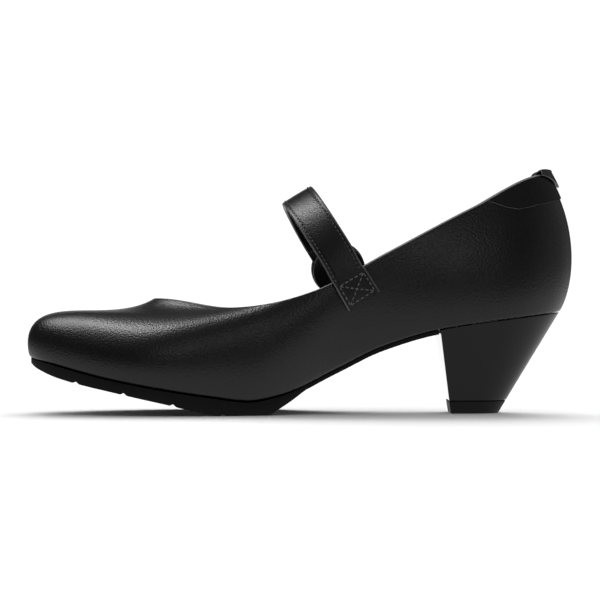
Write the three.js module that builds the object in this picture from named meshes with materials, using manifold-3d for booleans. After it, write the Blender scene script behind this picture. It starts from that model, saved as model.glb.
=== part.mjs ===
// A woman's right shoe: a round-toed court shoe with one instep strap and a tapered block heel.
//
// Millimetres. +Z is up and the floor is Z = 0. The toe points along -X, the inner (medial) side
// of the foot is at -Y and the outer (lateral) side at +Y.
//
// The upper is one surface that runs round the foot (angle a) and from the sole up to the
// opening (v). Every layer, patch and strap end is an offset of it, so they follow its sizes.

import * as THREE from "three";
import { mergeVertices } from "three/addons/utils/BufferGeometryUtils.js";
import Module from "manifold-3d";

const wasm = await Module();
wasm.setup();

// ---------------------------------------------------------------- driving dimensions

const shoeLength = 240; // toe tip to the furthest point of the back
const ballWidth = 82; // across the ball of the foot, nominal
const heelHeight = 37.2; // floor to the seat, at the front of the heel
const seatRise = 7.6; // climb of the seat from the front of the heel to the back
const toeSpring = 25; // floor to the edge of the upper, at the toe tip
const backHeight = 59.9; // seat to the top edge, at the back
const toeSwing = 3; // how far the toe tip leans towards the inner side

const clearance = 0.3; // gap between pieces that are glued, sewn or nailed together
const soleGap = 0.5; // glue line between the upper and the outsole
const upperLeather = 1.0;
const stiffenerSheet = 0.7; // toe puff, heel counter and the cloth between them
const liningSheet = 0.7;
const panelLeather = 0.6; // back panel and heel tab
const lastingMargin = 12; // upper leather turned in under the insole board

const boardThickness = 2.0;
const footbedFoam = 2.5;
const sockThickness = 0.8;
const soleThickness = 6.0; // outsole under the ball
const waistSole = 2.3; // outsole under the arch
const soleEdge = 0.7; // how far the outsole stands out past the upper's edge
const waistInset = 2.0; // how far it lies inside that edge under the arch
const noseInset = 1.6; // the nose of the sole sits this much further back, under the toe
const grooveWidth = 1.6;
const grooveDepth = 1.2;
const groovePitch = 21;
const grooveCount = 4;

const shankWidth = 11;
const shankThickness = 0.9;
const rivetRadius = 1.5;

const heelSeatLength = 53.8; // front of the heel to the back edge of the upper, at the seat
const heelFrontLean = 5.3; // how far back the front of the heel runs on its way down
const heelTipLength = 21.4;
const heelTipWidth = 21;
const heelInset = 0.4; // heel inside the edge of the upper
const topPiece = 5.5; // rubber tip of the heel

const pinRadius = 1.5;
const pinLength = 12;
const nailRadius = 1.0;
const nailLength = 15;
const screwRadius = 2.0;
const screwLength = 22;

const strapWidth = 14.2;
const strapOuter = 1.2;
const strapBacking = 1.0;
const strapLean = THREE.MathUtils.degToRad(31.2); // strap plane, forward of vertical
const strapSkew = 0.033; // how far it runs forward on its way to the outer side, per unit across
const strapArch = 55; // foot of the strap to its crest, in the strap plane
const anchorLength = 12; // the part that is sewn down
const tabRadius = 12.6; // round end of the strap
const earRadius = 12.2; // round tongue under it
const patchRadius = 9.8; // hook and loop patches
const patchThickness = 0.8;
const tabCentre = 17.2; // foot of the strap to the middle of the round end
const tabAside = 1.2; // the round end sits this far back from the strap's own middle line
const tabLean = THREE.MathUtils.degToRad(13); // round end leans in with the quarter

// ---------------------------------------------------------------- curves

const X = (f) => (f - 0.5) * shoeLength; // f runs from 0 at the toe tip to 1 at the back
const halfBall = ballWidth / 2;
const STATIONS = [0, 0.2, 0.4, 0.6, 0.8, 1]; // from the back of a loop to its front

const steps = (count, from = 0, to = 1) =>
  Array.from({ length: count + 1 }, (_, i) => from + ((to - from) * i) / count);

// A smooth curve through values at equal steps, even about both of its ends.
function through(values) {
  const last = values.length - 1;
  const at = (i) => values[i < 0 ? -i : i > last ? 2 * last - i : i];
  return (s) => {
    const t = THREE.MathUtils.clamp(s, 0, 1) * last;
    const i = Math.min(Math.floor(t), last - 1);
    const k = t - i;
    const [p, q, r, w] = [at(i - 1), at(i), at(i + 1), at(i + 2)];
    return q + (k / 2) * (r - p + k * (2 * p - 5 * q + 4 * r - w + k * (3 * (q - r) + w - p)));
  };
}

// A monotone curve through points [x, z]: it never overshoots them.
function profile(points) {
  const slope = points.slice(1).map(([x, z], i) => (z - points[i][1]) / (x - points[i][0]));
  const end = slope.length - 1;
  const tangent = points.map((_, i) => {
    if (i === 0 || i > end) return slope[i === 0 ? 0 : end];
    const [before, after] = [slope[i - 1], slope[i]];
    return before * after <= 0 ? 0 : (2 * before * after) / (before + after);
  });
  return (x) => {
    const at = THREE.MathUtils.clamp(x, points[0][0], points[end + 1][0]);
    const i = Math.min(points.findLastIndex((p) => p[0] <= at), end);
    const h = points[i + 1][0] - points[i][0];
    const k = (at - points[i][0]) / h;
    const rise = h * (tangent[i] * k * (1 - k) ** 2 + tangent[i + 1] * k * k * (k - 1));
    return points[i][1] + slope[i] * h * k * k * (3 - 2 * k) + rise;
  };
}

const featherBack = X(0.977);
const featherFront = X(0.006);
const heelFront = featherBack - heelSeatLength;
const heelTipFront = heelFront + heelFrontLean;
const archStart = X(0.458);
const arch = (share) => archStart + share * (heelFront - archStart); // from the ball to the heel

// Height of the edge where the upper meets the sole.
const feather = profile([
  [featherFront, toeSpring],
  [X(0.171), soleThickness + 0.364 * toeSpring],
  [X(0.342), soleThickness + 0.076 * toeSpring],
  [X(0.41), soleThickness],
  [archStart, soleThickness + 0.055 * heelHeight],
  [arch(0.383), 0.555 * heelHeight],
  [arch(0.638), 0.793 * heelHeight],
  [heelFront, heelHeight],
  [featherBack, heelHeight + seatRise],
]);

// Height of the underside of the outsole: flat on the floor under the ball.
const treadFlat = [X(0.36), X(0.442)];
const waistStart = arch(0.176); // from here back the outsole keeps its thin waist
const treadHeight = profile([
  [featherFront, toeSpring - 3.2],
  [X(0.067), 0.636 * toeSpring],
  [X(0.18), 0.38 * toeSpring],
  [X(0.27), 0.184 * toeSpring],
  [X(0.333), 0.036 * toeSpring],
  [treadFlat[0], 0],
  [treadFlat[1], 0],
  [X(0.463), 2.8],
  [X(0.482), 5.7],
  [waistStart, feather(waistStart) - waistSole],
]);
const tread = (x) => (x < waistStart ? treadHeight(x) : feather(x) - waistSole);

// ---------------------------------------------------------------- the upper's surface

const ENDS = 0.8; // under 1 makes the toe and the back blunter than an ellipse
const swing = (x) => -toeSwing * THREE.MathUtils.smoothstep(-x, 0.1 * shoeLength, 0.45 * shoeLength);

// One loop round the foot. back and front are X, and the widths are shares of half the ball.
function loop(back, front, medial, lateral, height) {
  const widths = [through(medial), through(lateral)];
  return (a) => {
    const s = (1 - Math.cos(a)) / 2;
    const side = Math.sin(a) >= 0 ? -1 : 1;
    const x = back + (front - back) * s;
    const width = halfBall * widths[side < 0 ? 0 : 1](s) * Math.abs(Math.sin(a)) ** ENDS;
    return new THREE.Vector3(x, side * width + swing(x), height(s, x));
  };
}

const featherX = (s) => featherBack + (featherFront - featherBack) * s;
const above = (rises) => through(STATIONS.map((s, i) => feather(featherX(s)) + rises[i]));

const shoulder = above([27, 25, 25, 23, 25, 33]);
const topline = above([backHeight, 51.2, 48.6, 47.4, 32.9, 25.8]);
const collarDrop = through([13.8, 13.5, 13, 10, 5, 14.6]);
const wallFoot = 9; // rise of the first stretch of wall, from the sole

const loops = [
  loop(
    featherBack, featherFront,
    [0.975, 0.756, 0.546, 0.78, 1.063, 0.975],
    [0.975, 0.756, 0.695, 0.893, 1.049, 0.975],
    (s, x) => feather(x),
  ),
  loop(
    X(0.999), X(-0.0065),
    [1.12, 0.86, 0.683, 0.941, 1.21, 1.12],
    [1.12, 0.86, 0.793, 1.03, 1.21, 1.12],
    (s) => feather(featherX(s)) + wallFoot,
  ),
  loop(
    X(1.013), X(-0.003),
    [1.02, 0.876, 0.72, 0.917, 1.137, 1.02],
    [1.02, 0.876, 0.817, 0.99, 1.137, 1.02],
    shoulder,
  ),
  loop(
    X(0.9917), X(0.1417),
    [0.73, 0.756, 0.72, 0.78, 0.861, 0.73],
    [0.73, 0.756, 0.744, 0.829, 0.876, 0.73],
    (s) => topline(s) - collarDrop(s),
  ),
  loop(
    X(0.9555), X(0.2354),
    [0.66, 0.65, 0.68, 0.745, 0.78, 0.66],
    [0.66, 0.65, 0.71, 0.78, 0.79, 0.66],
    topline,
  ),
];

// A point of the outer face of the upper: v is 0 at the sole and 1 at the opening.
function wall(a, v) {
  const w = 1 - v;
  const weights = [w ** 4, 4 * w ** 3 * v, 6 * w * w * v * v, 4 * w * v ** 3, v ** 4];
  return loops.reduce(
    (sum, at, i) => sum.addScaledVector(at(a), weights[i]),
    new THREE.Vector3(),
  );
}

function outward(a, v) {
  const step = 1e-3;
  const [low, high] = [Math.max(v - step, 0), Math.min(v + step, 1)];
  const round = wall(a + step, v).sub(wall(a - step, v));
  const up = wall(a, high).sub(wall(a, low));
  return up.cross(round).normalize();
}

// The same face moved into the shoe by depth, or out of it where depth is negative.
const layer = (a, v, depth) => wall(a, v).addScaledVector(outward(a, v), -depth);

// Every layer is drawn at the same steps round the foot and up the wall, so their faces stay parallel.
const AROUND = 60;
const UP = [0, 0.05, 0.12, 0.22, 0.34, 0.48, 0.63, 0.78, 0.9, 1];
const seamHalf = 0.003; // angle kept back at each end of a piece

function stepsRound(first, last, kept = seamHalf) {
  const angles = steps(last - first, first, last).map((i) => (2 * Math.PI * i) / AROUND);
  angles[0] += kept;
  angles[last - first] -= kept;
  return angles;
}

// The upper's bottom edge at angle a, moved in by inset and set to a height over the plan.
function soleEdgeAt(a, inset, height) {
  const edge = loops[0](a);
  const along = loops[0](a + 1e-3).sub(loops[0](a - 1e-3)).setZ(0).normalize();
  edge.x += along.y * inset;
  edge.y -= along.x * inset;
  return edge.setZ(height(edge.x));
}
const over = (height) => (x) => feather(x) + height;
// The angle at which that edge reaches X.
const angleAt = (x) => Math.acos(1 - (2 * (x - featherBack)) / (featherFront - featherBack));

// The place (a, v) of the outer face at X and Z, on one side: -1 medial, 1 lateral.
function placeOn(side, x, z) {
  let a = side < 0 ? Math.PI / 2 : (3 * Math.PI) / 2;
  let v = 0.7;
  const step = 1e-4;
  for (let i = 0; i < 30; i++) {
    const here = wall(a, v);
    const [da, dv] = [wall(a + step, v).sub(here), wall(a, v + step).sub(here)];
    const [ex, ez] = [(x - here.x) * step, (z - here.z) * step];
    const det = da.x * dv.z - dv.x * da.z;
    a += THREE.MathUtils.clamp((ex * dv.z - dv.x * ez) / det, -0.2, 0.2);
    v += THREE.MathUtils.clamp((da.x * ez - ex * da.z) / det, -0.2, 0.2);
  }
  return [a, v];
}

// ---------------------------------------------------------------- solids

function closedGeometry(points, triangles) {
  const open = new THREE.BufferGeometry();
  const flat = points.flatMap((p) => [p.x, p.y, p.z]);
  open.setAttribute("position", new THREE.Float32BufferAttribute(flat, 3));
  open.setIndex(triangles.flat());
  const merged = mergeVertices(open, 1e-3);
  const index = [];
  for (let i = 0; i < merged.index.count; i += 3) {
    const [a, b, c] = [0, 1, 2].map((k) => merged.index.getX(i + k));
    if (a !== b && b !== c && c !== a) index.push(a, b, c);
  }
  merged.setIndex(index);
  return volume(merged) < 0 ? turnedInsideOut(merged) : merged;
}

function volume(geometry) {
  const at = (i) => new THREE.Vector3().fromBufferAttribute(geometry.attributes.position, i);
  let sum = 0;
  for (let i = 0; i < geometry.index.count; i += 3) {
    const [a, b, c] = [0, 1, 2].map((k) => at(geometry.index.getX(i + k)));
    sum += a.dot(b.cross(c)) / 6;
  }
  return sum;
}

function turnedInsideOut(geometry) {
  const index = Array.from(geometry.index.array);
  for (let i = 0; i < index.length; i += 3) [index[i + 1], index[i + 2]] = [index[i + 2], index[i + 1]];
  return geometry.setIndex(index);
}

// A sheet between two grids of points, face[i][j] and back[i][j]. ring joins its first and last rows.
function sheet(face, back, ring = false) {
  const [rows, columns] = [face.length, face[0].length];
  const points = [...face.flat(), ...back.flat()];
  const front = (i, j) => (i % rows) * columns + j;
  const rear = (i, j) => rows * columns + front(i, j);
  const triangles = [];
  const quad = (p, q, r, s) => triangles.push([p, q, r], [p, r, s]);
  for (let i = 0; i < (ring ? rows : rows - 1); i++) {
    for (let j = 0; j < columns - 1; j++) {
      quad(front(i, j), front(i + 1, j), front(i + 1, j + 1), front(i, j + 1));
      quad(rear(i, j), rear(i, j + 1), rear(i + 1, j + 1), rear(i + 1, j));
    }
    const j = columns - 1;
    quad(front(i, 0), rear(i, 0), rear(i + 1, 0), front(i + 1, 0));
    quad(front(i, j), front(i + 1, j), rear(i + 1, j), rear(i, j));
  }
  if (!ring) {
    for (let j = 0; j < columns - 1; j++) {
      quad(front(0, j), front(0, j + 1), rear(0, j + 1), rear(0, j));
      quad(front(rows - 1, j), rear(rows - 1, j), rear(rows - 1, j + 1), front(rows - 1, j + 1));
    }
  }
  return closedGeometry(points, triangles);
}

// A solid through rings of points, each of which runs down one side and back up the other.
function loft(rings) {
  const count = rings[0].length;
  const points = rings.flat();
  const triangles = [];
  const quad = (p, q, r, s) => triangles.push([p, q, r], [p, r, s]);
  for (let j = 0; j < rings.length - 1; j++) {
    for (let i = 0; i < count; i++) {
      const next = (i + 1) % count;
      quad(j * count + i, j * count + next, (j + 1) * count + next, (j + 1) * count + i);
    }
  }
  const top = (rings.length - 1) * count;
  for (let i = 0; i < count / 2 - 1; i++) {
    const far = count - 1 - i;
    quad(far, far - 1, i + 1, i);
    quad(top + i, top + i + 1, top + far - 1, top + far);
  }
  return closedGeometry(points, triangles);
}

function toManifold(geometry) {
  const plain = new THREE.BufferGeometry();
  plain.setAttribute("position", geometry.attributes.position);
  if (geometry.index) plain.setIndex(geometry.index);
  const merged = mergeVertices(plain, 1e-3);
  return new wasm.Manifold(
    new wasm.Mesh({
      numProp: 3,
      vertProperties: new Float32Array(merged.attributes.position.array),
      triVerts: new Uint32Array(merged.index.array),
    }),
  );
}

function cut(geometry, tools) {
  const solid = tools.reduce((left, tool) => left.subtract(toManifold(tool)), toManifold(geometry));
  const mesh = solid.getMesh();
  const made = new THREE.BufferGeometry();
  made.setAttribute("position", new THREE.BufferAttribute(mesh.vertProperties, 3));
  made.setIndex(new THREE.BufferAttribute(mesh.triVerts, 1));
  return made;
}

const material = (color, roughness, metalness = 0) =>
  new THREE.MeshStandardMaterial({ color, roughness, metalness });
const finish = {
  leather: material(0x242122, 0.42),
  lining: material(0x6b645c, 0.8),
  stiffener: material(0xcfc6b4, 0.9),
  board: material(0x9a7b52, 0.9),
  foam: material(0xd8d2c4, 0.95),
  rubber: material(0x1b1a1a, 0.75),
  heel: material(0x2b2a2a, 0.35),
  steel: material(0x9a9ca0, 0.35, 1),
  velcro: material(0x161616, 0.95),
};

const part = new THREE.Group();
const shoe = new THREE.Group();
part.add(shoe);

function add(name, geometry, look, parent = shoe) {
  const mesh = new THREE.Mesh(geometry, look);
  mesh.name = name;
  parent.add(mesh);
  return mesh;
}

// ---------------------------------------------------------------- upper and its layers

// A layer of the upper between two depths, from one step round the foot to another.
function upperLayer(depths, first, last, low, high) {
  const rises = UP.filter((v) => v >= low && v <= high);
  const angles = stepsRound(first, last);
  const grid = (depth) => angles.map((a) => rises.map((v) => layer(a, v, depth)));
  return sheet(grid(depths[0]), grid(depths[1]));
}

// The outer leather is turned in under the insole board all round.
function lastedUpper() {
  const down = new THREE.Vector3(0, 0, -1);
  const turn = (a, depth) => {
    const side = outward(a, 0);
    const mitre = side.clone().add(down).multiplyScalar(1 / (1 + side.dot(down)));
    return loops[0](a).addScaledVector(mitre, -depth);
  };
  const angles = stepsRound(0, AROUND - 1, 0);
  const grid = (depth) =>
    angles.map((a) => [
      soleEdgeAt(a, lastingMargin, over(depth)),
      soleEdgeAt(a, lastingMargin / 2, over(depth)),
      turn(a, depth),
      ...UP.slice(1).map((v) => layer(a, v, depth)),
    ]);
  return sheet(grid(0), grid(upperLeather), true);
}

add("upper_leather", lastedUpper(), finish.leather);

const middle = [upperLeather + clearance, upperLeather + clearance + stiffenerSheet];
const inside = [middle[1] + clearance, middle[1] + clearance + liningSheet];
const lowest = UP[1]; // the layers inside start above the upper's turned-in edge
const counterEnd = 11; // steps round from the back
const puffEnd = 23;
const liningSplit = 19; // the vamp lining meets the quarter lining here

add(
  "heel_counter",
  upperLayer(middle, -counterEnd, counterEnd, lowest, 0.79),
  finish.stiffener,
);
add(
  "toe_puff",
  upperLayer(middle, puffEnd, AROUND - puffEnd, lowest, 0.64),
  finish.stiffener,
);
add(
  "medial_interlining",
  upperLayer(middle, counterEnd, puffEnd, lowest, 0.91),
  finish.stiffener,
);
add(
  "lateral_interlining",
  upperLayer(middle, AROUND - puffEnd, AROUND - counterEnd, lowest, 0.91),
  finish.stiffener,
);
add("quarter_lining", upperLayer(inside, -liningSplit, liningSplit, lowest, 1), finish.lining);
add("vamp_lining", upperLayer(inside, liningSplit, AROUND - liningSplit, lowest, 1), finish.lining);

// Back panel: a thin leather overlay round the top of the back.
const panelEnd = 9; // steps round from the back
const panelDepth = through([0.84, 0.81, 0.78, 0.8, 0.88, 0.985]);
function backPanel() {
  const angles = stepsRound(-panelEnd, panelEnd);
  const rows = (depth) =>
    angles.map((a) => {
      const low = panelDepth(Math.abs(a) / angles.at(-1));
      return steps(3, low, 1).map((v) => layer(a, v, depth));
    });
  return sheet(rows(-clearance - panelLeather), rows(-clearance));
}
add("back_panel", backPanel(), finish.leather);

// Heel tab: folded over the top edge at the back, from the outside to the inside.
const tabEnd = 4; // steps round from the back
function heelTab() {
  const outFace = -2 * clearance - panelLeather;
  const inFace = inside[1] + clearance;
  const angles = stepsRound(-tabEnd, tabEnd);
  const rows = (grow) =>
    angles.map((a) => {
      const low = 0.84 + (0.1 * Math.abs(a)) / angles.at(-1);
      const rim = (depth) => layer(a, 1, depth).add(new THREE.Vector3(0, 0, clearance + grow));
      return [
        layer(a, low, outFace - grow),
        layer(a, (1 + low) / 2, outFace - grow),
        rim(outFace - grow),
        rim(inFace + grow),
        layer(a, 0.91, inFace + grow),
      ];
    });
  return sheet(rows(panelLeather), rows(0));
}
add("heel_tab", heelTab(), finish.leather);

// ---------------------------------------------------------------- insole, footbed and sole

// A plate that follows the foot: its faces lie at set heights over the upper's edge.
function bottomPlate(inset, low, high, angles = stepsRound(0, AROUND / 2, 0)) {
  const rows = (height) =>
    angles.map((a) => {
      const edge = inset(loops[0](a).x);
      return [a, 2 * Math.PI - a].map((at) => soleEdgeAt(at, edge, height));
    });
  return sheet(rows(high), rows(low));
}

const boardInset = () => inside[1] + clearance;
const boardLow = upperLeather + clearance;
const foamLow = boardLow + boardThickness + clearance;
const sockLow = foamLow + footbedFoam + clearance;

// Nails, screws and rivets stand square to the seat, at a place in the plan.
function seatFrame(x, y, height) {
  const slope = Math.atan((feather(x + 1) - feather(x - 1)) / 2);
  return new THREE.Matrix4()
    .makeTranslation(x, y, feather(x) + height)
    .multiply(new THREE.Matrix4().makeRotationY(-slope));
}

// A turned pin: its head's top is at 0 and its shank runs down from there.
function turned(radius, length, headRadius, headHeight, grow = 0) {
  const outline = [
    [0, -length - grow],
    [radius + grow, -length - grow],
    [radius + grow, -headHeight - grow],
    [headRadius + grow, -headHeight - grow],
    [headRadius + grow, grow],
    [0, grow],
  ];
  const lathe = new THREE.LatheGeometry(outline.map(([r, z]) => new THREE.Vector2(r, z)), 12);
  return lathe.rotateX(Math.PI / 2);
}

const fasteners = [];
function fastener(name, frame, radius, length, headRadius, headHeight) {
  const shape = (grow) => turned(radius, length, headRadius, headHeight, grow).applyMatrix4(frame);
  fasteners.push(shape(clearance));
  add(name, shape(0), finish.steel);
}

const boardTop = boardLow + boardThickness;
const headTop = boardTop - 0.2; // heads are sunk into the board
const screwPlace = [heelFront + 0.52 * (featherBack - heelFront), 0];
fastener("heel_screw", seatFrame(...screwPlace, headTop), screwRadius, screwLength, 4, 1.2);
const nailHead = 2.2;
const nailTurns = [
  ["front", 0.86],
  ["rear", 0.56],
]; // shares of the way round from the back to the front corner of the heel
for (const [place, turn] of nailTurns) {
  for (const [side, sign] of [["medial", 1], ["lateral", -1]]) {
    const inside = lastingMargin + nailHead + 2 * clearance;
    const at = soleEdgeAt(sign * turn * angleAt(heelFront), inside, over(0));
    const frame = seatFrame(at.x, at.y, headTop);
    fastener("heel_nail_" + place + "_" + side, frame, nailRadius, nailLength, nailHead, 0.8);
  }
}
const shankEnds = [X(0.485), screwPlace[0] - screwRadius - 6];
const rivetPlaces = [["front", shankEnds[0] + 6], ["rear", heelFront - 4]];
for (const [name, x] of rivetPlaces) {
  const length = boardTop - 2 * clearance;
  fastener("shank_rivet_" + name, seatFrame(x, 0, headTop), rivetRadius, length, 2.6, 0.7);
}

add(
  "insole_board",
  cut(bottomPlate(boardInset, over(boardLow), over(boardTop)), fasteners),
  finish.board,
);

// Steel shank: a strip under the board that follows the arch.
function shank() {
  const along = stepsRound(0, AROUND / 2, 0)
    .map((a) => loops[0](a).x)
    .filter((x) => x > shankEnds[0] + 1 && x < shankEnds[1] - 1);
  const rows = (height) =>
    [shankEnds[1], ...along, shankEnds[0]].map((x) =>
      [-1, 1].map((side) => new THREE.Vector3(x, (side * shankWidth) / 2, feather(x) + height)),
    );
  return sheet(rows(boardLow - clearance), rows(boardLow - clearance - shankThickness));
}
add("shank", cut(shank(), fasteners), finish.steel);

const fillerInset = () => lastingMargin + 2;
add(
  "bottom_filler",
  bottomPlate(fillerInset, over(0), over(upperLeather), stepsRound(17, 27)),
  finish.foam,
);
add("footbed_foam", bottomPlate(boardInset, over(foamLow), over(foamLow + footbedFoam)), finish.foam);
add("sock_liner", bottomPlate(boardInset, over(sockLow), over(sockLow + sockThickness)), finish.lining);

// Outsole: flush at the forepart, set in under the arch, and grooved across the tread.
function soleInset(x) {
  const waist = THREE.MathUtils.smoothstep(x, treadFlat[1], arch(0.35));
  const nose = THREE.MathUtils.smoothstep(-x, -X(0.06), -featherFront);
  return -soleEdge + (waistInset + soleEdge) * waist + noseInset * nose;
}
function outsole() {
  const end = angleAt(heelFront - 2 * clearance);
  const angles = [end, ...stepsRound(0, AROUND / 2, 0).filter((a) => a > end + 0.02)];
  const blank = bottomPlate(soleInset, tread, over(-soleGap), angles);
  const grooves = steps(grooveCount - 1, 0, grooveCount - 1).map((i) => {
    const x = X(0.1) + i * groovePitch;
    const slope = Math.atan((tread(x + 1) - tread(x - 1)) / 2);
    return new THREE.BoxGeometry(grooveWidth, 2 * ballWidth, 2 * grooveDepth)
      .rotateY(-slope)
      .translate(x, 0, tread(x));
  });
  return cut(blank, grooves);
}
add("outsole", outsole(), finish.rubber);

// ---------------------------------------------------------------- heel

const HEEL_SIDE = 14;
// A point of the heel's skin: k runs from the inner front corner round the back to the outer one.
function heelPoint(k, z) {
  const start = angleAt(heelFront);
  const edge = loops[0](start * (1 - k / HEEL_SIDE));
  const reach = (edge.x - heelFront) / (featherBack - heelFront);
  const half = Math.abs(loops[0](start).y);
  const top = new THREE.Vector3(
    heelFront + reach * (featherBack - heelInset - heelFront),
    edge.y * (1 - heelInset / half),
    feather(edge.x) - soleGap,
  );
  const tip = new THREE.Vector3(
    heelTipFront + reach * heelTipLength,
    (edge.y / half) * (heelTipWidth / 2),
    0,
  );
  return tip.lerp(top, z / top.z).setZ(z);
}
const heelTop = (k) => feather(loops[0](angleAt(heelFront) * (1 - k / HEEL_SIDE)).x) - soleGap;
const heelRing = (height) =>
  steps(2 * HEEL_SIDE, 0, 2 * HEEL_SIDE).map((k) => heelPoint(k, height(k)));

// Two steel pins hold the rubber tip to the heel.
const pinTools = [];
for (const [name, share] of [["front", 0.28], ["rear", 0.68]]) {
  const x = heelTipFront + share * heelTipLength;
  const pin = (grow) =>
    new THREE.CylinderGeometry(pinRadius + grow, pinRadius + grow, pinLength + 2 * grow, 12)
      .rotateX(Math.PI / 2)
      .translate(x, 0, topPiece - 3.5 + pinLength / 2);
  pinTools.push(pin(clearance));
  add("top_piece_pin_" + name, pin(0), finish.steel);
}
const levels = (low, high, count) =>
  steps(count).map((t) => heelRing((k) => low + (high(k) - low) * t));
add(
  "heel_block",
  cut(loft(levels(topPiece + clearance, heelTop, 3)), [...fasteners, ...pinTools]),
  finish.heel,
);
add("heel_top_piece", cut(loft(levels(0, () => topPiece, 1)), pinTools), finish.rubber);

// ---------------------------------------------------------------- strap

const strapThickness = strapBacking + clearance + strapOuter;
const across = new THREE.Vector3(Math.cos(strapLean), 0, Math.sin(strapLean)); // strap width
const rising = new THREE.Vector3(-Math.sin(strapLean), 0, Math.cos(strapLean)); // up the strap
const strapFoot = new THREE.Vector3(26.4, 0, 48.8); // middle of the strap's sewn end, in the side view
// A point of the strap plane: y across the shoe, u up from the strap's foot, w along its width.
const strapPoint = (y, u, w) =>
  strapFoot.clone().addScaledVector(rising, u).addScaledVector(across, w - strapSkew * y).setY(y);

// A point over the quarter at (u, w), standing off its face by height.
function onQuarter(side, u, w, height) {
  const flat = strapPoint(side * 33, u, w);
  return layer(...placeOn(side, flat.x, flat.z), -height);
}

const half = strapWidth / 2;
const WIDE = [-half, -half / 3, half / 3, half];
const anchorRows = (height) =>
  steps(5, 0, anchorLength).map((u) => WIDE.map((w) => onQuarter(-1, u, w, height)));
add(
  "strap_anchor_backing",
  sheet(anchorRows(clearance + strapBacking), anchorRows(clearance)),
  finish.leather,
);
add(
  "strap_anchor_outer",
  sheet(anchorRows(clearance + strapThickness), anchorRows(2 * clearance + strapBacking)),
  finish.leather,
);

// Where the strap leaves the quarter: its inner face goes on from the anchor's.
const leave = onQuarter(-1, anchorLength, 0, clearance);
const below = onQuarter(-1, anchorLength - 2, 0, clearance);
const leaveLean = (leave.y - below.y) / 2;

// Round end: a flat stack over the outer quarter, on the tongue that stands up from it.
const tabUp = new THREE.Vector2(-Math.sin(tabLean), Math.cos(tabLean));
const tabOut = new THREE.Vector2(Math.cos(tabLean), Math.sin(tabLean));
// It clears the quarter's face, below the top edge, over the whole of its own width.
function seatOfEar() {
  const reach = steps(12, -earRadius, earRadius);
  const places = reach.flatMap((u) => reach.map((w) => [u, w]));
  const reaches = places
    .filter(([u, w]) => Math.hypot(u, w) <= earRadius + clearance)
    .map(([u, w]) => {
      const flat = strapPoint(33, tabCentre + u * tabUp.y, w + tabAside);
      const [a, v] = placeOn(1, flat.x, flat.z);
      const face = layer(a, Math.min(v, 1), -clearance);
      return v < 1.03 ? face.y - u * tabUp.x : 0;
    });
  return Math.max(...reaches);
}
const earSeat = seatOfEar();

// The frame of the round end: X along the strap's width, Y up the strap, Z out of the shoe.
function tabFrame(out) {
  const centre = strapPoint(earSeat, tabCentre, tabAside);
  const up = new THREE.Vector3(0, tabUp.x, 0).addScaledVector(rising, tabUp.y);
  const outer = new THREE.Vector3(0, tabOut.x, 0).addScaledVector(rising, tabOut.y);
  return new THREE.Matrix4()
    .makeBasis(across.clone().negate(), up, outer)
    .setPosition(centre.addScaledVector(outer, out));
}
function plateOn(shape, out, thickness) {
  const options = { depth: thickness, bevelEnabled: false, curveSegments: 14 };
  return new THREE.ExtrudeGeometry(shape, options).applyMatrix4(tabFrame(out));
}
const disc = (radius) => new THREE.Shape().absarc(0, 0, radius, 0, 2 * Math.PI);

const neckTop = tabRadius + 1.5; // the strap bends here when the round end is peeled off
function tabShape() {
  const [left, right] = [tabAside - half, tabAside + half];
  return new THREE.Shape()
    .moveTo(left, neckTop)
    .absarc(0, 0, tabRadius, Math.acos(left / tabRadius), 2 * Math.PI + Math.acos(right / tabRadius))
    .lineTo(right, neckTop);
}

const stack = [0, 1.2, patchThickness, patchThickness, strapBacking, strapOuter];
const outs = stack.slice(0, -1).map((_, i) => {
  const under = stack.slice(1, i + 1).reduce((sum, t) => sum + t, 0);
  return under + clearance * i;
});
add("fastening_ear", plateOn(disc(earRadius), outs[0], stack[1]), finish.leather);
add("loop_patch", plateOn(disc(patchRadius), outs[1], stack[2]), finish.velcro);

// At its start the band takes the quarter's curve across its width, as the sewn end does.
const settle = 0.3; // share of the band over which that curve flattens
const quarterCurve = WIDE.map((w) => onQuarter(-1, anchorLength, w, clearance).y - leave.y);

// The strap swings about a line just off its outer face, where it leaves the quarter.
const bandStart = anchorLength + clearance;
const hingeOut = clearance + strapThickness;
const strapHinge = onQuarter(-1, anchorLength, 0, hingeOut).addScaledVector(rising, clearance / 2);
strapHinge.y -= clearance / 4 + Math.max(...quarterCurve.map((y) => -y));
const strapPivot = new THREE.Group();
strapPivot.name = "strap_pivot";
strapPivot.position.copy(strapHinge);
shoe.add(strapPivot);

// The band's inner face: an arch from the quarter, over the instep, to the round end's neck.
const bandInnerEnd = new THREE.Vector2(earSeat, tabCentre)
  .addScaledVector(tabOut, outs[3])
  .addScaledVector(tabUp, neckTop + clearance);
const bandInnerStart = new THREE.Vector2(leave.y + leaveLean * clearance, bandStart);
const crest = new THREE.Vector2((bandInnerStart.x + bandInnerEnd.x) / 2 - 1, strapArch - strapThickness);
const archPath = new THREE.CurvePath();
const ROUND = 0.56; // handle length of a quarter ellipse
archPath.add(
  new THREE.CubicBezierCurve(
    bandInnerStart,
    bandInnerStart.clone().add(new THREE.Vector2(leaveLean, 1).multiplyScalar(ROUND * (crest.y - bandStart))),
    new THREE.Vector2(crest.x - ROUND * (crest.x - bandInnerStart.x), crest.y),
    crest,
  ),
);
archPath.add(
  new THREE.CubicBezierCurve(
    crest,
    new THREE.Vector2(crest.x + ROUND * (bandInnerEnd.x - crest.x), crest.y),
    bandInnerEnd.clone().addScaledVector(tabUp, ROUND * (crest.y - bandInnerEnd.y)),
    bandInnerEnd,
  ),
);

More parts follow.
